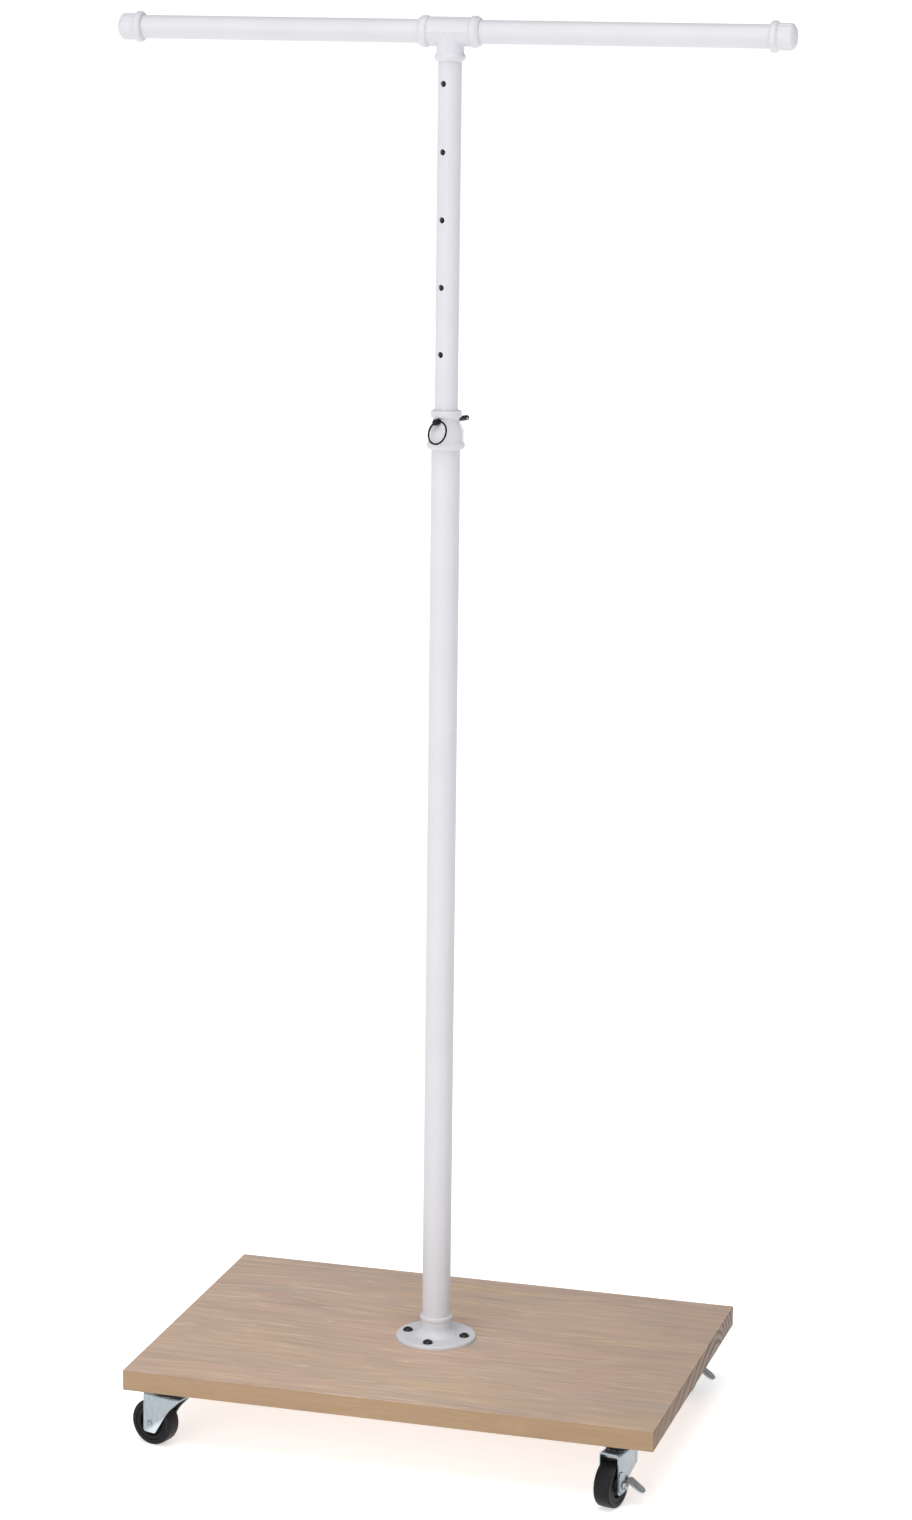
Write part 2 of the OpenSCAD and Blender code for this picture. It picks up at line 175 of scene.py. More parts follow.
def join(name, parts):
    """One object out of several, their meshes kept as they are."""
    bm = bmesh.new()
    for part in parts:
        bm.from_mesh(part.data)
        bpy.data.objects.remove(part)
    return from_bmesh(name, bm)


def boolean(obj, tool, operation):
    mod = obj.modifiers.new(operation, "BOOLEAN")
    mod.operation = operation
    mod.solver = "EXACT"
    mod.object = tool
    settle(obj)
    bpy.data.objects.remove(tool)
    return obj


def cut(obj, tool):
    return boolean(obj, tool, "DIFFERENCE")


def clean(obj):
    """Splits faces with many sides into triangles and removes those without area."""
    bm = bmesh.new()
    bm.from_mesh(obj.data)
    bmesh.ops.triangulate(bm, faces=[face for face in bm.faces if len(face.verts) > 4])
    bmesh.ops.dissolve_degenerate(bm, dist=2e-6, edges=bm.edges)
    bm.to_mesh(obj.data)
    bm.free()
    return obj


def bevel(obj, width, segments=2, angle=40):
    mod = obj.modifiers.new("edge", "BEVEL")
    mod.width = width
    mod.segments = segments
    mod.limit_method = "ANGLE"
    mod.angle_limit = math.radians(angle)
    return settle(obj)


def cast(obj, voxel, passes):
    """Fuses overlapping parts into one skin and softens it, as a casting's corners are."""
    mod = obj.modifiers.new("fuse", "REMESH")
    mod.mode = "VOXEL"
    mod.voxel_size = voxel
    smooth = obj.modifiers.new("soften", "SMOOTH")
    smooth.factor = 0.5
    smooth.iterations = passes
    return settle(obj)


def rod(radius, start, end):
    """A plain round bar along Z, used as a tool."""
    return lathe("tool", [(0, start), (radius, start), (radius, end), (0, end)], 48)


def turned(degrees, axis):
    return Matrix.Rotation(math.radians(degrees), 4, axis)


def polygon(radius, sides, first=0.0):
    """The corners of a regular polygon round the origin."""
    angles = [first + 2 * math.pi * k / sides for k in range(sides)]
    return [(radius * math.cos(a), radius * math.sin(a)) for a in angles]


# ---- materials ----

def new_material(name):
    mat = bpy.data.materials.new(name)
    mat.use_nodes = True
    tree = mat.node_tree
    return mat, tree, tree.nodes["Principled BSDF"]


def node(tree, kind, **values):
    made = tree.nodes.new(kind)
    for key, value in values.items():
        if key in made.inputs:
            made.inputs[key].default_value = value
        else:
            setattr(made, key, value)
    return made


def coordinates(tree, scale):
    """Object coordinates stretched by scale, so a pattern has its size in metres."""
    source = node(tree, "ShaderNodeTexCoord")
    mapping = node(tree, "ShaderNodeMapping")
    mapping.inputs["Scale"].default_value = scale
    tree.links.new(source.outputs["Object"], mapping.inputs["Vector"])
    return mapping.outputs["Vector"]


def noise(tree, scale, detail, rough=0.5, stretch=(1, 1, 1)):
    made = node(tree, "ShaderNodeTexNoise", Scale=scale, Detail=detail, Roughness=rough)
    tree.links.new(coordinates(tree, stretch), made.inputs["Vector"])
    return made.outputs["Fac"]


def ramp(tree, value, stops):
    """Turns a value into a colour, by (position, colour) stops in rising order."""
    made = node(tree, "ShaderNodeValToRGB")
    band = made.color_ramp
    band.elements.remove(band.elements[1])
    band.elements[0].position, band.elements[0].color = stops[0][0], (*stops[0][1], 1)
    for position, colour in stops[1:]:
        band.elements.new(position).color = (*colour, 1)
    tree.links.new(value, made.inputs["Fac"])
    return made.outputs["Color"]


def spread(tree, value, low_value, high_value, from_low=0.0, from_high=1.0):
    """Maps from_low..from_high to low_value..high_value, clamped."""
    made = node(tree, "ShaderNodeMapRange")
    made.inputs["From Min"].default_value = from_low
    made.inputs["From Max"].default_value = from_high
    made.inputs["To Min"].default_value = low_value
    made.inputs["To Max"].default_value = high_value
    tree.links.new(value, made.inputs["Value"])
    return made.outputs["Result"]


def math_node(tree, operation, *values):
    made = node(tree, "ShaderNodeMath", operation=operation)
    for socket, value in zip(made.inputs, values):
        if isinstance(value, (int, float)):
            socket.default_value = value
        else:
            tree.links.new(value, socket)
    return made.outputs[0]


def times(tree, one, two):
    return math_node(tree, "MULTIPLY", one, two)


def plus(tree, one, two):
    return math_node(tree, "ADD", one, two)


def tinted(tree, base, factor, amount, colour):
    """The base mixed with a colour, by a factor times an amount."""
    made = node(tree, "ShaderNodeMix", data_type="RGBA")
    tree.links.new(times(tree, factor, amount), made.inputs[0])
    tree.links.new(base, made.inputs[6])
    made.inputs[7].default_value = (*colour, 1)
    return made.outputs[2]


def bump(tree, bsdf, height, distance, strength, below=None):
    """Adds a bump, on top of the one below it if there is one."""
    made = node(tree, "ShaderNodeBump", Strength=strength, Distance=distance)
    tree.links.new(height, made.inputs["Height"])
    if below is not None:
        tree.links.new(below, made.inputs["Normal"])
    tree.links.new(made.outputs["Normal"], bsdf.inputs["Normal"])
    return made.outputs["Normal"]


def edge_wear_and_highlight(tree, low_value, high_value):
    """A mask high on outer edges and low in corners, used for worn edges and for painted edge highlights."""
    geometry = node(tree, "ShaderNodeNewGeometry")
    return spread(tree, geometry.outputs["Pointiness"], 0, 1, low_value, high_value)


BLACK = (0, 0, 0)
WHITE = (1, 1, 1)


def powder_coat():
    """White powder coat with a slight orange peel."""
    mat, tree, bsdf = new_material("powder_coat")
    cloud = noise(tree, 14, 3)
    tint = ramp(tree, cloud, [(0.3, (0.590, 0.588, 0.622)), (0.7, (0.618, 0.615, 0.650))])
    tree.links.new(tint, bsdf.inputs["Base Color"])
    rough = spread(tree, noise(tree, 160, 2), 0.36, 0.46)
    tree.links.new(rough, bsdf.inputs["Roughness"])
    bsdf.inputs["Specular IOR Level"].default_value = 0.45
    peel = noise(tree, 900, 2)
    grit = noise(tree, 3200, 1)
    first = bump(tree, bsdf, peel, 0.00006, 0.5)
    bump(tree, bsdf, grit, 0.00002, 0.3, first)
    return mat


def board_wood():
    """Pale board with its grain along X and its end grain on the short sides."""
    mat, tree, bsdf = new_material("board_wood")
    links = tree.links
    source = node(tree, "ShaderNodeTexCoord")
    # Slow wander of the grain, long in X
    drift = node(tree, "ShaderNodeTexNoise", Scale=1.0, Detail=2.0, Roughness=0.45)
    links.new(coordinates(tree, (2.6, 9, 9)), drift.inputs["Vector"])
    shift = node(tree, "ShaderNodeVectorMath", operation="MULTIPLY_ADD")
    links.new(drift.outputs["Color"], shift.inputs[0])
    shift.inputs[1].default_value = (0.0, 0.06, 0.03)
    links.new(source.outputs["Object"], shift.inputs[2])
    split = node(tree, "ShaderNodeSeparateXYZ")
    links.new(shift.outputs[0], split.inputs[0])

    def along_grain(scale_x, scale_y, detail, rough):
        """Noise drawn out along the wandering grain."""
        stretch = node(tree, "ShaderNodeMapping")
        stretch.inputs["Scale"].default_value = (scale_x, scale_y, scale_y)
        links.new(shift.outputs[0], stretch.inputs["Vector"])
        made = node(tree, "ShaderNodeTexNoise", Scale=1.0, Detail=detail, Roughness=rough)
        links.new(stretch.outputs[0], made.inputs["Vector"])
        return made.outputs["Fac"]

    # Distance from the tree's heart, which runs nearly along X below the board. Its rings are
    # drawn out towards the front, and fade there.
    heart_y, heart_z, lean, drawn_out, rings_per_metre = 0.175, 0.054, 0.10, 0.35, 85.0
    y = math_node(tree, "SUBTRACT", split.outputs["Y"], heart_y)
    y = plus(tree, y, times(tree, split.outputs["X"], lean))
    near_heart = spread(tree, y, 0.35, 1.0, -0.25, -0.05)
    y = math_node(tree, "MAXIMUM", y, times(tree, y, drawn_out))
    z = math_node(tree, "SUBTRACT", split.outputs["Z"], heart_z)
    radius = math_node(tree, "SQRT", plus(tree, times(tree, y, y), times(tree, z, z)))
    ring = math_node(tree, "FRACT", times(tree, radius, rings_per_metre))
    ring_tone = ramp(tree, ring, [
        (0.0, BLACK), (0.40, (0.1, 0.1, 0.1)), (0.68, WHITE), (0.92, WHITE), (1.0, BLACK)])
    # Broad bands of yellow, pink and grey, then darker streaks, thin pale lines and fine fibres
    band = along_grain(3.4, 15, 3, 0.5)
    streak = along_grain(3.6, 130, 3, 0.55)
    line = along_grain(3.2, 50, 2, 0.5)
    fibre = along_grain(9, 520, 3, 0.6)
    base = ramp(tree, band, [(0.34, (0.520, 0.415, 0.350)), (0.45, (0.625, 0.435, 0.330)),
                             (0.54, (0.550, 0.415, 0.335)), (0.66, (0.640, 0.460, 0.320))])
    dark_streak = ramp(tree, streak, [(0.36, WHITE), (0.52, BLACK)])
    base = tinted(tree, base, dark_streak, 0.24, (0.350, 0.255, 0.190))
    pale_line = ramp(tree, line, [(0.0, BLACK), (0.478, BLACK), (0.500, WHITE), (0.522, BLACK)])
    base = tinted(tree, base, pale_line, 0.60, (0.760, 0.590, 0.430))
    dark_fibre = ramp(tree, fibre, [(0.42, BLACK), (0.66, WHITE)])
    base = tinted(tree, base, dark_fibre, 0.42, (0.285, 0.205, 0.155))
    # The board grows a little darker towards its right end
    toward_right = spread(tree, split.outputs["X"], 0.0, 1.0, 0.02, 0.26)
    base = tinted(tree, base, toward_right, 0.32, (0.330, 0.240, 0.185))
    # The front face gets painted shade, darker and yellower than the top. End grain is darker and shows its
    # rings strongly.
    geometry = node(tree, "ShaderNodeNewGeometry")
    facing = node(tree, "ShaderNodeSeparateXYZ")
    links.new(geometry.outputs["Normal"], facing.inputs[0])
    end = math_node(tree, "GREATER_THAN", math_node(tree, "ABSOLUTE", facing.outputs["X"]), 0.7)
    front = math_node(tree, "LESS_THAN", facing.outputs["Y"], -0.7)
    base = tinted(tree, base, end, 0.75, (0.175, 0.092, 0.052))
    # Painted shade on the front face, picked by its normal
    base = tinted(tree, base, front, 0.78, (0.273, 0.165, 0.074))
    ring_strength = times(tree, plus(tree, times(tree, end, 0.88), 0.07), near_heart)
    base = tinted(tree, base, ring_tone, ring_strength, (0.040, 0.025, 0.020))
    # The eased edges are a little rubbed
    base = tinted(tree, base, edge_wear_and_highlight(tree, 0.52, 0.60), 0.25, (0.62, 0.47, 0.35))
    links.new(base, bsdf.inputs["Base Color"])
    links.new(spread(tree, streak, 0.50, 0.64), bsdf.inputs["Roughness"])
    bsdf.inputs["Specular IOR Level"].default_value = 0.30
    first = bump(tree, bsdf, fibre, 0.00014, 0.4)
    bump(tree, bsdf, ring_tone, 0.00010, 0.3, first)
    return mat


def metal(name, dark, light, rough, spangle, metallic=1.0, rim=1.35, gloss=0.5, brushed=(1, 1, 1)):
    """Plated or bare metal: cloudy tone, uneven gloss, a fine surface and a painted highlight that makes
    edges rim times as bright.
    """
    mat, tree, bsdf = new_material(name)
    cloud = noise(tree, spangle, 3, 0.6, brushed)
    tone = ramp(tree, cloud, [(0.30, dark), (0.70, light)])
    # Painted highlight: edges are lightened towards rim times the light tone
    edge_highlight = tuple(min(1, c * rim + 0.02) for c in light)
    tone = tinted(tree, tone, edge_wear_and_highlight(tree, 0.52, 0.62), 0.6, edge_highlight)
    tree.links.new(tone, bsdf.inputs["Base Color"])
    uneven = noise(tree, spangle * 3, 3, 0.6, brushed)
    tree.links.new(spread(tree, uneven, rough * 0.8, rough * 1.2), bsdf.inputs["Roughness"])
    bsdf.inputs["Metallic"].default_value = metallic
    bsdf.inputs["Specular IOR Level"].default_value = gloss
    bump(tree, bsdf, noise(tree, spangle * 12, 2, 0.5, brushed), 0.00003, 0.35)
    return mat


def plastic(name, dark, light, rough, grain, depth, gloss):
    """Moulded plastic or rubber: mottled tone, uneven gloss, a fine grain and scuffed edges."""
    mat, tree, bsdf = new_material(name)
    bsdf.inputs["Specular IOR Level"].default_value = gloss
    tone = ramp(tree, noise(tree, 45, 4, 0.6), [(0.3, dark), (0.75, light)])
    scuffed = tuple(min(1, c * 1.5 + 0.012) for c in light)
    tone = tinted(tree, tone, edge_wear_and_highlight(tree, 0.51, 0.60), 0.5, scuffed)
    tree.links.new(tone, bsdf.inputs["Base Color"])
    tree.links.new(spread(tree, noise(tree, 120, 3), rough * 0.8, rough * 1.25), bsdf.inputs["Roughness"])
    bump(tree, bsdf, noise(tree, grain, 2), depth, 0.4)
    return mat


MATERIALS = {
    "powder_coat": powder_coat(),
    "board_wood": board_wood(),
    "brass": metal("brass", (0.42, 0.28, 0.10), (0.62, 0.44, 0.18), 0.35, 300),
    "black_screw": metal("black_screw", (0.008, 0.008, 0.009), (0.018, 0.018, 0.020), 0.38, 400, 0.3),
    # The zinc sheet's edges carry a strong painted highlight, near white
    "zinc_sheet": metal("zinc_sheet", (0.235, 0.265, 0.295), (0.350, 0.390, 0.430), 0.30, 140, 0.9, 2.4,
                        brushed=(4, 4, 0.6)),
    "steel": metal("steel", (0.30, 0.31, 0.31), (0.48, 0.49, 0.49), 0.26, 260),
    "nylon": plastic("nylon", (0.62, 0.60, 0.54), (0.70, 0.68, 0.62), 0.5, 700, 0.00004, 0.5),
    "black_oxide": metal("black_oxide", (0.001, 0.001, 0.001), (0.004, 0.004, 0.005), 0.30, 420, 0.0,
                         gloss=0.2),
    "bright_steel": metal("bright_steel", (0.60, 0.61, 0.62), (0.74, 0.75, 0.76), 0.16, 200),
    "wheel_rubber": plastic("wheel_rubber", (0.003, 0.003, 0.004), (0.008, 0.008, 0.010), 0.40, 900,
                            0.00005, 0.2),
    "bush_steel": metal("bush_steel", (0.38, 0.38, 0.38), (0.50, 0.50, 0.50), 0.32, 260),
}


def piece(obj, body, slot, *replaced, angle=35):
    """Gives a finished piece its look, its body, its slot and the CAD nodes it stands for.

    Edges that turn by more than angle degrees stay sharp."""
    obj.data.shade_smooth()
    obj.data.set_sharp_from_angle(angle=math.radians(angle))
    obj.data.materials.clear()
    obj.data.materials.append(MATERIALS[slot])
    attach(obj, body)
    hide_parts(*replaced)


# ---- base board ----

def base_board():
    lo, hi = Vector(low("base_board")), Vector(high("base_board"))
    bm = bmesh.new()
    bmesh.ops.create_cube(bm, size=1)
    bmesh.ops.scale(bm, vec=hi - lo, verts=bm.verts)
    bmesh.ops.translate(bm, vec=(lo + hi) / 2, verts=bm.verts)
    board = from_bmesh("board", bm)
    bevel(board, 1.6 * MM, 4)
    piece(board, "stand", "board_wood", "base_board")


# ---- post ----

WALL = 2 * MM


def pipe(name, radius, z0, z1):
    """A tube along Z whose ends have a small chamfer."""
    edge = 0.5 * MM
    return lathe(name, [
        (radius - edge, z0), (radius, z0 + edge), (radius, z1 - edge), (radius - edge, z1),
        (radius - WALL, z1), (radius - WALL, z0)], 128)


def lower_pole():
    r = span("lower_pole").x / 2
    tube = pipe("lower_tube", r, low("lower_pole")[2], high("lower_pole")[2])
    piece(tube, "stand", "powder_coat", "lower_pole")


PIN_WAY = Vector(JOINTS["pin_slide"]["axis"])
# A frame with the pin's head towards -Y, and X across the pin
PIN_FRAME = Matrix.Translation((0, 0, middle("lock_pin").z)) @ Matrix((
    (-PIN_WAY.y, -PIN_WAY.x, 0, 0), (PIN_WAY.x, -PIN_WAY.y, 0, 0), (0, 0, 1, 0), (0, 0, 0, 1)))
ALONG_Y = turned(-90, "X")
HOLE_PITCH = 76.2 * MM
HOLES_ABOVE, HOLES_BELOW = 5, 1
HOLE_R = 3.6 * MM


def upper_pole():
    r = span("upper_pole").x / 2
    tube = pipe("upper_tube", r, low("upper_pole")[2], high("upper_pole")[2])
    for k in range(-HOLES_BELOW, HOLES_ABOVE + 1):
        spot = PIN_FRAME @ Matrix.Translation((0, 0, k * HOLE_PITCH))
        cut(tube, move(rod(HOLE_R, -2 * r, 2 * r), spot @ ALONG_Y))
    bevel(tube, 0.35 * MM, 2, 50)
    piece(tube, "mast", "powder_coat", "upper_pole")


def coupling():
    """The big lip, flare, neck and bead of a reducer, with a rib down each side."""
    z0, z1 = low("reducing_coupling")[2], high("reducing_coupling")[2]
    big, flare, neck, bead, rib_r = 21.8 * MM, 18.9 * MM, 15.0 * MM, 17.9 * MM, 20.8 * MM
    inner = span("upper_pole").x / 2 + 0.3 * MM
    rib_low, rib_bend, rib_top = z0 + 7 * MM, z0 + (z1 - z0) * 0.51, z0 + (z1 - z0) * 0.72
    body = lathe("coupling", fillet([
        (inner, z0), (big - 1.2 * MM, z0, 1 * MM), (big, z0 + 2.4 * MM, 2 * MM), (big, z0 + 6.4 * MM, 2 * MM),
        (flare, z0 + 9 * MM, 1.6 * MM), (flare, z0 + 21 * MM, 6 * MM), (neck, z1 - 12.5 * MM, 4 * MM),
        (neck, z1 - 9 * MM, 1 * MM), (bead, z1 - 7.6 * MM, 1.8 * MM), (bead, z1 - 1.6 * MM, 1.8 * MM),
        (bead - 2 * MM, z1, 0.8 * MM), (inner, z1)], 5), 128)
    outline = [
        (inner, rib_top), (neck + 0.3 * MM, rib_top), (rib_r, rib_bend), (rib_r, rib_low), (inner, rib_low)]
    ribs = [move(prism("rib", outline, -1.4 * MM, 1.4 * MM), turned(way, "Z") @ turned(90, "X"))
            for way in (180, 0)]
    whole = cast(join("coupling", [body, *ribs]), 0.38 * MM, 3)
    cut(whole, move(rod(HOLE_R, -40 * MM, 40 * MM), PIN_FRAME @ ALONG_Y))
    piece(whole, "stand", "powder_coat", "reducing_coupling", angle=60)


FLANGE_T = 5 * MM


def floor_flange():
    """A disc that sweeps up into a hub with a collar."""
    z0, z1 = low("floor_flange")[2], high("floor_flange")[2]
    r = span("floor_flange").x / 2
    pole = span("lower_pole").x / 2
    hub, collar = pole + 1.7 * MM, pole + 2.5 * MM
    top = z0 + FLANGE_T
    body = lathe("flange", fillet([
        (pole, z0), (r, z0, 0.5 * MM), (r, top, 2.2 * MM), (hub + 7.5 * MM, top, 2 * MM),
        (hub, top + 6 * MM, 9 * MM), (hub, z1 - 5.6 * MM, 0.8 * MM), (collar, z1 - 4.6 * MM, 1 * MM),
        (collar, z1 - 0.3 * MM, 1.6 * MM), (pole, z1)], 6), 160)
    piece(body, "stand", "powder_coat", "floor_flange", angle=50)


def flange_screws():
    """Four button heads with hexagon sockets, each turned a bit further than the last."""
    centre = middle("floor_flange")
    seat = low("floor_flange")[2] + FLANGE_T
    r, h = 6 * MM, 3.6 * MM
    reach = span("flange_screws").x / 2 - r
    heads = []
    for k in range(4):
        head = lathe("head", fillet([
            (0, -1 * MM), (r, -1 * MM), (r, 0.8 * MM, 0.4 * MM), (r * 0.93, h * 0.55, 1.5 * MM),
            (r * 0.55, h * 0.97, 2 * MM), (0, h)], 5), 64)
        cut(head, prism("socket", polygon(2.3 * MM, 6, 0.4 * k), h - 2.4 * MM, h + 1 * MM))
        angle = k * math.pi / 2
        spot = (centre.x + reach * math.cos(angle), centre.y + reach * math.sin(angle), seat)
        heads.append(move(head, Matrix.Translation(spot)))
    piece(clean(join("button_screws", heads)), "stand", "black_screw", "flange_screws")


# ---- crossbar ----

BAR_Z = middle("arm_left").z
TO_X = Matrix.Translation((0, 0, BAR_Z)) @ turned(90, "Y")
UPSIDE_DOWN = turned(180, "X")


def socket_profile(reach, body, band, band_w, lip):
    """From the middle of a fitting out to a banded, rounded mouth."""
    return fillet([
        (0, 0), (body, 0), (body, reach - band_w, 2.5 * MM), (band, reach - band_w + 2 * MM, 2 * MM),
        (band, reach - lip, 2.5 * MM), (band - 2.6 * MM, reach, 1.2 * MM), (0, reach)], 5)


def ribs_on(radius, width, start, end, count, first=0.0):
    """Low casting ribs along Z on a round body, the first of them turned by first degrees."""
    outline = [(-width / 2, 0), (width / 2, 0), (width / 4, radius), (-width / 4, radius)]
    turns = [first + k * 360 / count for k in range(count)]
    return [move(prism("rib", outline, start, end), turned(turn, "Z")) for turn in turns]


def tee():
    half = span("tee").x / 2
    drop = BAR_Z - low("tee")[2]
    body, band = 15.7 * MM, 17.9 * MM
    rib_r, rib_w = body + 0.7 * MM, 5 * MM
    parts = []
    for turn in (Matrix.Identity(4), UPSIDE_DOWN):
        run = [lathe("run", socket_profile(half, body, band, 12 * MM, 4.5 * MM), 128)]
        run += ribs_on(rib_r, rib_w, 0, half - 9 * MM, 4)
        parts += [move(part, TO_X @ turn) for part in run]
    branch = [lathe("branch", socket_profile(drop, body, band - 0.3 * MM, 8.5 * MM, 3 * MM), 128)]
    branch += ribs_on(rib_r, rib_w, 0, drop - 6 * MM, 2)
    parts += [move(part, Matrix.Translation((0, 0, BAR_Z)) @ UPSIDE_DOWN) for part in branch]
    whole = cast(join("tee", parts), 0.45 * MM, 8)
    piece(whole, "mast", "powder_coat", "tee", angle=180)


def arm(name):
    tube = pipe(name.replace("_", "_tube_"), span(name).y / 2, low(name)[0], high(name)[0])
    piece(move(tube, TO_X), "mast", "powder_coat", name)


def cap(name, side):
    """A banded, ribbed and domed cap on the bar's end at side times X."""
    length = span(name).x
    body, band = 15.0 * MM, 17.6 * MM
    outline = fillet([
        (0, 0), (band - 2 * MM, 0, 1.4 * MM), (band, 2.4 * MM, 2 * MM), (band, 7.2 * MM, 2 * MM),
        (body, 9.8 * MM, 1.2 * MM), (body, length - 5 * MM, 4 * MM), (body - 6 * MM, length - 1 * MM, 9 * MM),
        (0, length)], 6)
    parts = [lathe("cap", outline, 128)]
    parts += ribs_on(body + 0.5 * MM, 3.4 * MM, 4 * MM, length - 6 * MM, 8, 22.5)
    whole = cast(join("cap", parts), 0.45 * MM, 6)
    start, turn = (low(name)[0], Matrix.Identity(4)) if side > 0 else (high(name)[0], UPSIDE_DOWN)
    whole.name = name.replace("_", "_cover_")
    move(whole, Matrix.Translation((start, 0, 0)) @ TO_X @ turn)
    piece(whole, "mast", "powder_coat", name, angle=180)


# ---- lock pin ----

SWING = JOINTS["ring_swing"]
# The frame of the ring's eye: its hole along X, tilted because the pin has rolled a little
EYE_FRAME = (Matrix.Translation((0, -Vector(SWING["pos_m"][:2]).length, 0))
             @ Matrix.Rotation(math.asin(SWING["axis"][2]), 4, "Y"))
# How far the ring hangs off straight down, in degrees
RING_LEAN = 19.7
RING_R, RING_WIRE_R = 13.2 * MM, 1.1 * MM


def lock_pin():
    """A pin along Z with a head, its eye and a chamfered tip, then laid along its way."""
    r, head, eye = 3.15 * MM, 3.7 * MM, 1.8 * MM
    end, neck, tip = -23.2 * MM, -16 * MM, 44 * MM
    shank = lathe("shank", fillet([
        (0, end), (head - 0.9 * MM, end), (head, end + 0.8 * MM, 0.5 * MM), (head, neck - 0.8 * MM, 0.4 * MM),
        (head - 0.5 * MM, neck, 0.3 * MM), (r, neck), (r, tip - 2.2 * MM, 1 * MM),
        (r - 1.1 * MM, tip, 0.6 * MM), (0, tip)], 4), 64)
    move(shank, ALONG_Y)
    cut(shank, move(rod(eye, -9 * MM, 9 * MM), EYE_FRAME @ turned(90, "Y")))
    bevel(shank, 0.25 * MM, 2, 60)
    piece(move(shank, PIN_FRAME), "lock_pin", "black_oxide", "lock_pin")


def pull_ring():
    bpy.ops.mesh.primitive_torus_add(major_segments=128, minor_segments=24,
                                     major_radius=RING_R, minor_radius=RING_WIRE_R)
    ring = bpy.context.object
    ring.name = "ring"
    hang = turned(-RING_LEAN, "X") @ Matrix.Translation((0, 0, -RING_R)) @ turned(90, "X")
    piece(move(ring, PIN_FRAME @ EYE_FRAME @ hang), "pull_ring", "black_oxide", "pull_ring", angle=180)


# ---- casters ----

SHEET = 2 * MM
LEG_IN = 11 * MM


def caster_frame(corner):
    """The frame of a caster: Z up the kingpin, X towards the axle. Also how far back the axle is."""
    king = Vector(JOINTS["swivel_" + corner]["pos_m"])
    axle = Vector(JOINTS["roll_" + corner]["pos_m"])
    way = Vector((axle.x - king.x, axle.y - king.y, 0))
    turn = Matrix.Rotation(math.atan2(way.y, way.x), 4, "Z")
    return Matrix.Translation((king.x, king.y, 0)) @ turn, way.length, axle.z


def bent_sheet(name, outline, bends):
    """A sheet cut to an outline of (x, s) points, then bent along lines of constant s.

    Bends is a list of (s where the arc starts, s where it ends, total turn); before the first bend the
    sheet rises straight from s = 0 at the origin. S ends up laid out in the YZ plane."""
    bm = bmesh.new()
    bm.faces.new([bm.verts.new((x, s, 0)) for x, s in outline])
    steps = 8
    lines = [a + (b - a) * k / steps for a, b, _ in bends for k in range(steps + 1)]
    for line in lines:
        geom = bm.verts[:] + bm.edges[:] + bm.faces[:]
        bmesh.ops.bisect_plane(bm, geom=geom, plane_co=(0, line, 0), plane_no=(0, 1, 0), dist=1e-7)
    for vert in bm.verts:
        y, z, heading, at = 0.0, 0.0, 0.0, 0.0
        s = vert.co.y
        for a, b, turn in bends:
            run = min(s, a) - at
            y, z, at = y + math.sin(heading) * run, z + math.cos(heading) * run, at + run
            if s <= a:
                break
            done = min(s, b) - a
            part = turn * done / (b - a)
            radius = (b - a) / turn
            y += radius * (math.cos(heading) - math.cos(heading + part))
            z += radius * (math.sin(heading + part) - math.sin(heading))
            heading, at = heading + part, at + done
            if s <= b:
                break
        else:
            y, z = y + math.sin(heading) * (s - at), z + math.cos(heading) * (s - at)
        vert.co = (vert.co.x, y, z)
    sheet = from_bmesh(name, bm)
    solid = sheet.modifiers.new("thickness", "SOLIDIFY")
    solid.thickness = SHEET
    solid.offset = 0
    solid.use_even_offset = True
    settle(sheet)
    return bevel(sheet, 0.4 * MM, 2, 50)


def fork(corner, spot, trail, axle_z):
    """A U of sheet steel: leg, bend, top, bend, leg."""
    top = high("fork_" + corner)[2] - SHEET / 2
    side = LEG_IN + SHEET / 2
    bend_r = 3 * MM
    arc = bend_r * math.pi / 2
    foot = axle_z - 11 * MM
    rise = top - bend_r - foot
    flat = 2 * (side - bend_r)
    whole = 2 * rise + 2 * arc + flat
    back, front, waist = trail + 8 * MM, -25.5 * MM, trail - 27 * MM
    edge = [(trail - 8.4 * MM, 0, 3.6 * MM), (waist, 30 * MM, 40 * MM), (front, rise + arc * 0.6, 1 * MM)]
    if corner in BRAKED:
        brow = front + 5.5 * MM
        edge[1:2] = [
            (trail - 20 * MM, 15.5 * MM, 2 * MM), (brow, 26 * MM, 2 * MM), (brow, rise - 4 * MM, 2 * MM)]
    heel = [(back, rise, 0), (back, 0, 3.6 * MM)]
    far_edge = [(x, whole - s, radius) for x, s, radius in edge[::-1]]
    far_heel = [(x, whole - s, radius) for x, s, radius in heel[::-1]]
    outline = fillet_loop(edge + far_edge + far_heel + heel, 6)
    second = rise + arc + flat
    bends = [(rise, rise + arc, math.pi / 2), (second, second + arc, math.pi / 2)]
    made = bent_sheet("fork_body_" + corner, outline, bends)
    move(made, spot @ Matrix.Translation((0, -side, foot)))
    piece(made, "swivel_" + corner, "zinc_sheet", "fork_" + corner)


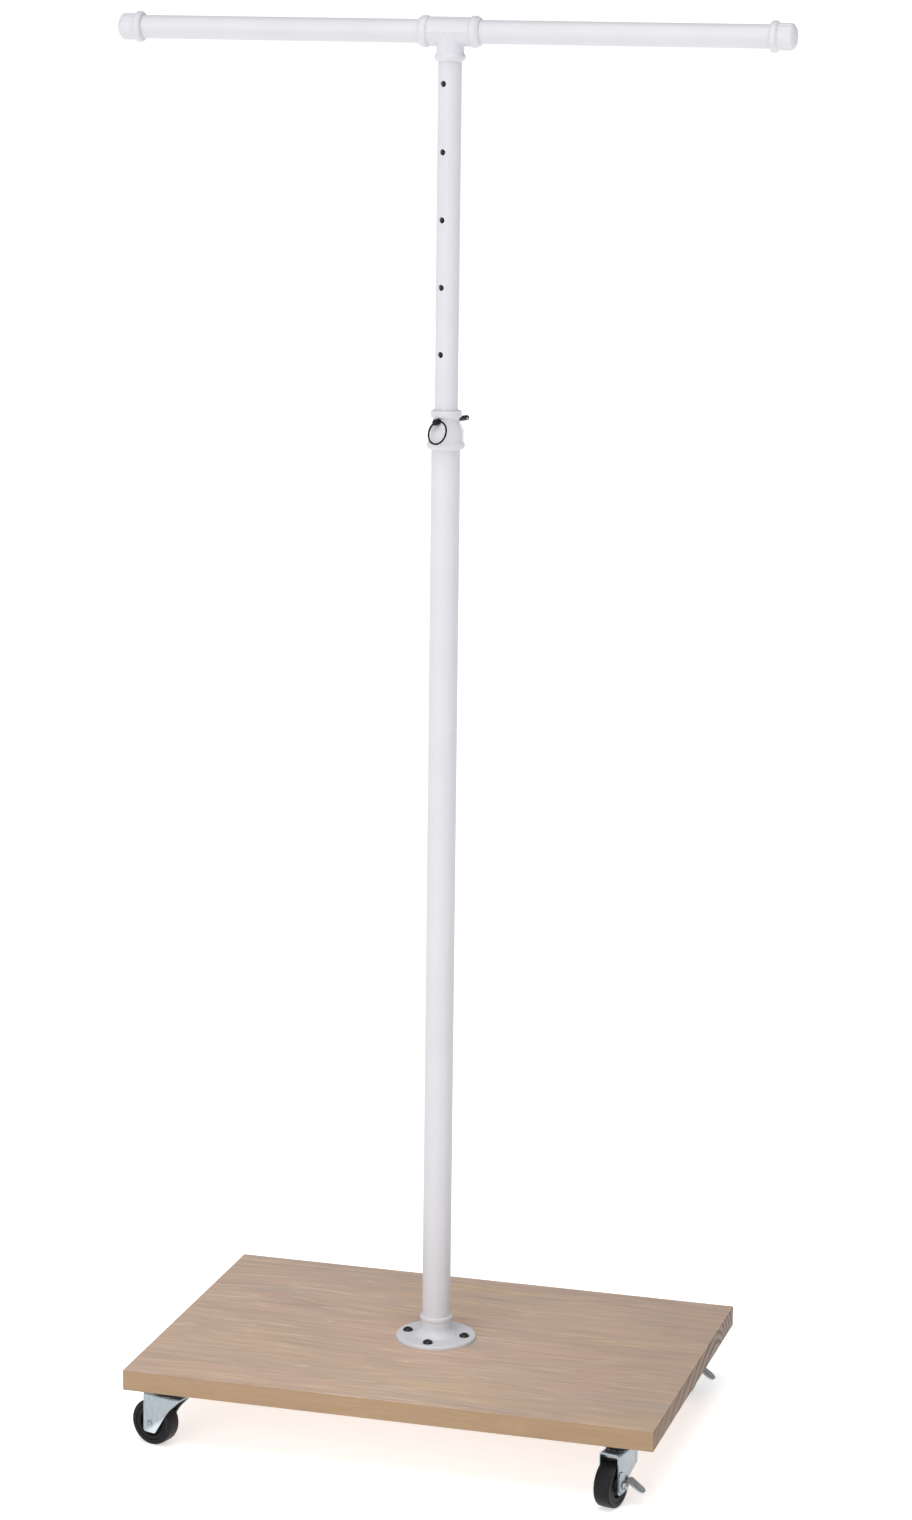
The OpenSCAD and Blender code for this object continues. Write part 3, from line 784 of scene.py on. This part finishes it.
def mounting_plate(corner):
    """Plate with rounded corners, and the raceway's skirt below it, black as painted shade for the gap under
    the plate.
    """
    centre = middle("caster_plate_" + corner)
    size = span("caster_plate_" + corner)
    z1 = high("caster_plate_" + corner)[2]
    x, y, t = size.x / 2, size.y / 2, 2.5 * MM
    outline = fillet_loop([(-x, -y, 6 * MM), (x, -y, 6 * MM), (x, y, 6 * MM), (-x, y, 6 * MM)], 6)
    plate = bevel(prism("plate", outline, z1 - t, z1), 0.35 * MM)
    skirt = lathe("skirt", fillet([
        (16 * MM, z1 - t), (17 * MM, z1 - t - 4.9 * MM, 0.5 * MM), (18.6 * MM, z1 - t - 4.9 * MM, 0.6 * MM),
        (18.9 * MM, z1 - t)], 4), 96)
    plate.name, skirt.name = "plate_" + corner, "raceway_" + corner
    # The skirt is black as painted shade in the gap between the plate and the fork
    for part, slot in ((plate, "zinc_sheet"), (skirt, "black_oxide")):
        move(part, Matrix.Translation((centre.x, centre.y, 0)))
        piece(part, "stand", slot, "caster_plate_" + corner)


def wheel(corner, spot, trail, axle_z):
    """A solid wheel: hub, sunk disc, rim, a groove round it and a tyre with soft shoulders."""
    r, w = span("wheel_" + corner).z / 2, 10 * MM
    hub = w + 0.4 * MM
    half = [
        (4.5 * MM, hub), (8.4 * MM, hub, 0.6 * MM), (9.2 * MM, 5.6 * MM, 1 * MM),
        (14.2 * MM, 5.4 * MM, 1.2 * MM), (15.6 * MM, w - 1.4 * MM, 1 * MM),
        (16.6 * MM, w - 0.5 * MM, 0.5 * MM), (19.6 * MM, w - 0.2 * MM, 0.3 * MM),
        (20 * MM, w - 1.1 * MM, 0.2 * MM), (20.9 * MM, w - 1.1 * MM, 0.2 * MM),
        (21.3 * MM, w - 0.1 * MM, 0.3 * MM), (r - 1.2 * MM, w, 1.6 * MM),
        (r - 0.2 * MM, w - 2.4 * MM, 1.2 * MM), (r, 3.2 * MM, 12 * MM), (r, 0)]
    mirrored = [(c[0], -c[1], *c[2:]) for c in half[::-1][1:]]
    body = lathe("wheel", fillet(half + mirrored, 4), 128)
    body.name = "tyre_" + corner
    move(body, spot @ Matrix.Translation((trail, 0, axle_z)) @ turned(90, "X"))
    piece(body, "wheel_" + corner, "wheel_rubber", "wheel_" + corner, angle=40)


def axle(corner, spot, trail, axle_z):
    """Rivet on a plain caster; bolt with a hex nut on a braked one."""
    place = spot @ Matrix.Translation((trail, 0, axle_z)) @ ALONG_Y
    y0, y1 = -LEG_IN - SHEET, LEG_IN + SHEET
    if corner in BRAKED:
        end = y1 + 8.1 * MM
        far = [(3 * MM, end - 1.2 * MM, 0.2 * MM), (2 * MM, end, 0.6 * MM), (0, end)]
    else:
        end = y1 + 1.4 * MM
        far = [
            (3 * MM, y1), (3.7 * MM, y1, 0.2 * MM), (3 * MM, end - 0.2 * MM, 0.8 * MM),
            (1.4 * MM, end - 0.2 * MM, 0.3 * MM), (1 * MM, end - 0.9 * MM, 0.3 * MM), (0, end - 0.9 * MM)]
    bolt = lathe("bolt", fillet([
        (0, y0 - 1.9 * MM), (2.2 * MM, y0 - 2.2 * MM, 1 * MM), (5.2 * MM, y0 - 1.6 * MM, 0.8 * MM),
        (5.5 * MM, y0, 0.2 * MM), (3 * MM, y0), *far], 4), 64)
    bolt.name = "axle_bolt_" + corner
    piece(move(bolt, place), "swivel_" + corner, "steel", "axle_" + corner)
    if corner in BRAKED:
        n0 = y1 + SHEET + 0.6 * MM
        n1 = n0 + 4.4 * MM
        nut = prism("nut", polygon(4 * MM / math.cos(math.pi / 6), 6), n0, n1)
        dome = lathe("dome", [
            (0, n0 - 0.2 * MM), (4.2 * MM, n0 - 0.2 * MM), (4.8 * MM, n0 + 0.4 * MM),
            (4.8 * MM, n1 - 0.7 * MM), (3.8 * MM, n1), (0, n1)], 64)
        boolean(nut, dome, "INTERSECT")
        nut.name = "hex_nut_" + corner
        piece(clean(move(nut, place)), "swivel_" + corner, "steel", "axle_nut_" + corner)


def brake_lever(corner, spot, trail, axle_z):
    """A flat plate round the axle, with an arm whose end is bent outward as a foot tab."""
    y0 = LEG_IN + SHEET + 0.3 * MM + SHEET / 2
    bottom = axle_z - 9 * MM
    tab_x, tab_z, slope = trail - 12 * MM, axle_z + 3.5 * MM, math.radians(32)
    half, length, bend_r = 7 * MM, 23.5 * MM, 2 * MM
    turn = math.pi / 2 + slope
    start = tab_z - bottom - bend_r
    arc = bend_r * turn
    end = start + arc + length - bend_r
    plate = fillet_loop([
        (trail + 3.6 * MM, 0, 1.5 * MM), (trail + 9 * MM, 4.5 * MM, 2 * MM),
        (trail + 9 * MM, 20 * MM, 3 * MM), (trail + 5 * MM, 26 * MM, 2 * MM),
        (tab_x + half + 2 * MM, 24 * MM, 3 * MM), (tab_x + half, start - 0.5 * MM, 0.5 * MM),
        (tab_x - half + 1 * MM, start - 0.5 * MM, 0.5 * MM),
        (tab_x - half + 1 * MM, start - 3 * MM, 2 * MM), (trail - 9 * MM, 4.5 * MM, 2 * MM),
        (trail - 4 * MM, 0, 1.5 * MM)], 5)
    arm_outline = fillet_loop([
        (tab_x + half, start - 2.5 * MM, 0.5 * MM), (tab_x + half, end - half, 1 * MM),
        (tab_x + half * 0.7, end, 4.5 * MM), (tab_x - half * 0.7, end, 4.5 * MM),
        (tab_x - half, end - half, 1 * MM), (tab_x - half, start - 2.5 * MM, 0.5 * MM)], 5)
    made = bent_sheet("foot_lever_" + corner, arm_outline, [(start, start + arc, turn)])
    boolean(made, bent_sheet("lever_plate", plate, []), "UNION")
    move(made, spot @ Matrix.Translation((0, y0, bottom)))
    out = length - bend_r - 5 * MM
    tip = (tab_x, y0 + bend_r * (1 + math.sin(slope)) + out * math.cos(slope),
           tab_z - bend_r * (1 - math.cos(slope)) - out * math.sin(slope))
    cut(made, move(rod(1.7 * MM, -6 * MM, 6 * MM), spot @ Matrix.Translation(tip)))
    piece(made, "brake_lever_" + corner, "zinc_sheet", "brake_lever_" + corner)


# ---- build ----

base_board()
lower_pole()
upper_pole()
coupling()
floor_flange()
flange_screws()
tee()
for side, word in ((-1, "left"), (1, "right")):
    arm("arm_" + word)
    cap("cap_" + word, side)
lock_pin()
pull_ring()
for corner in CORNERS:
    spot, trail, axle_z = caster_frame(corner)
    fork(corner, spot, trail, axle_z)
    mounting_plate(corner)
    wheel(corner, spot, trail, axle_z)
    axle(corner, spot, trail, axle_z)
    if corner in BRAKED:
        brake_lever(corner, spot, trail, axle_z)

# CAD nodes whose shape is right keep it and get a better material
slots = {row["node"]: row["material_slot"] for row in frame["record"]["subparts"]}
for name, obj in frame["nodes"].items():
    obj.data.materials.clear()
    obj.data.materials.append(MATERIALS[slots[name]])


# ---- floor, light and camera ----

def floor():
    """A pale floor that glows a little, so that it fades into the sky."""
    bm = bmesh.new()
    bmesh.ops.create_grid(bm, x_segments=1, y_segments=1, size=14)
    ground = from_bmesh("floor", bm)
    mat, tree, bsdf = new_material("floor_paint")
    tone = ramp(tree, noise(tree, 3, 2), [(0.3, (0.78, 0.78, 0.78)), (0.7, (0.80, 0.80, 0.80))])
    tree.links.new(tone, bsdf.inputs["Base Color"])
    bsdf.inputs["Roughness"].default_value = 0.9
    bsdf.inputs["Emission Color"].default_value = (1, 1, 1, 1)
    bsdf.inputs["Emission Strength"].default_value = 0.55
    ground.data.materials.append(mat)


HORIZON, DOME = 1.08, 0.42


def sky():
    """An even studio dome, dimmer overhead than at the horizon and below it."""
    world = bpy.data.worlds.new("studio")
    world.use_nodes = True
    tree = world.node_tree
    source = node(tree, "ShaderNodeTexCoord")
    split = node(tree, "ShaderNodeSeparateXYZ")
    tree.links.new(source.outputs["Generated"], split.inputs[0])
    strength = spread(tree, split.outputs["Z"], HORIZON, DOME, 0.05, 0.16)
    background = tree.nodes["Background"]
    background.inputs["Color"].default_value = (1, 1, 1, 1)
    tree.links.new(strength, background.inputs["Strength"])
    bpy.context.scene.world = world


def sun(name, turn, height, strength, softness):
    """Even light from a turn round the object (0 is the front), a height and a softness, in degrees."""
    data = bpy.data.lights.new(name, "SUN")
    data.energy = strength
    data.angle = math.radians(softness)
    lamp = bpy.data.objects.new(name, data)
    bpy.context.scene.collection.objects.link(lamp)
    a, e = math.radians(turn), math.radians(height)
    source = Vector((math.sin(a) * math.cos(e), -math.cos(a) * math.cos(e), math.sin(e)))
    lamp.rotation_euler = source.to_track_quat("Z", "Y").to_euler()


def lights():
    sky()
    sun("key", -14, 22, 0.95, 40)
    sun("top", 5, 68, 1.35, 35)


CAMERA_TURN = 16.06
CAMERA_REACH = 4.3547
CAMERA_HEIGHT = 1.7008
CAMERA_PITCH = 10.498
CAMERA_YAW = 0.195
CAMERA_ROLL = 0.6746
CAMERA_LENS = 90.54


def camera():
    data = bpy.data.cameras.new("camera")
    data.lens = CAMERA_LENS
    data.sensor_width = 36
    data.shift_y = -0.05
    data.clip_end = 100
    cam = bpy.data.objects.new("camera", data)
    bpy.context.scene.collection.objects.link(cam)
    turn = math.radians(CAMERA_TURN)
    cam.location = (CAMERA_REACH * math.sin(turn), -CAMERA_REACH * math.cos(turn), CAMERA_HEIGHT)
    heading = math.radians(CAMERA_TURN - CAMERA_YAW)
    pitch = math.radians(CAMERA_PITCH)
    level = Vector((-math.sin(heading), math.cos(heading), 0))
    forward = level * math.cos(pitch) - Vector((0, 0, math.sin(pitch)))
    right = forward.cross(Vector((0, 0, 1))).normalized()
    up = right.cross(forward)
    roll = math.radians(CAMERA_ROLL)
    right, up = right * math.cos(roll) + up * math.sin(roll), up * math.cos(roll) - right * math.sin(roll)
    cam.rotation_euler = Matrix((right, up, -forward)).transposed().to_euler()
    bpy.context.scene.camera = cam


floor()
lights()
camera()
bpy.context.scene.view_settings.view_transform = "Standard"
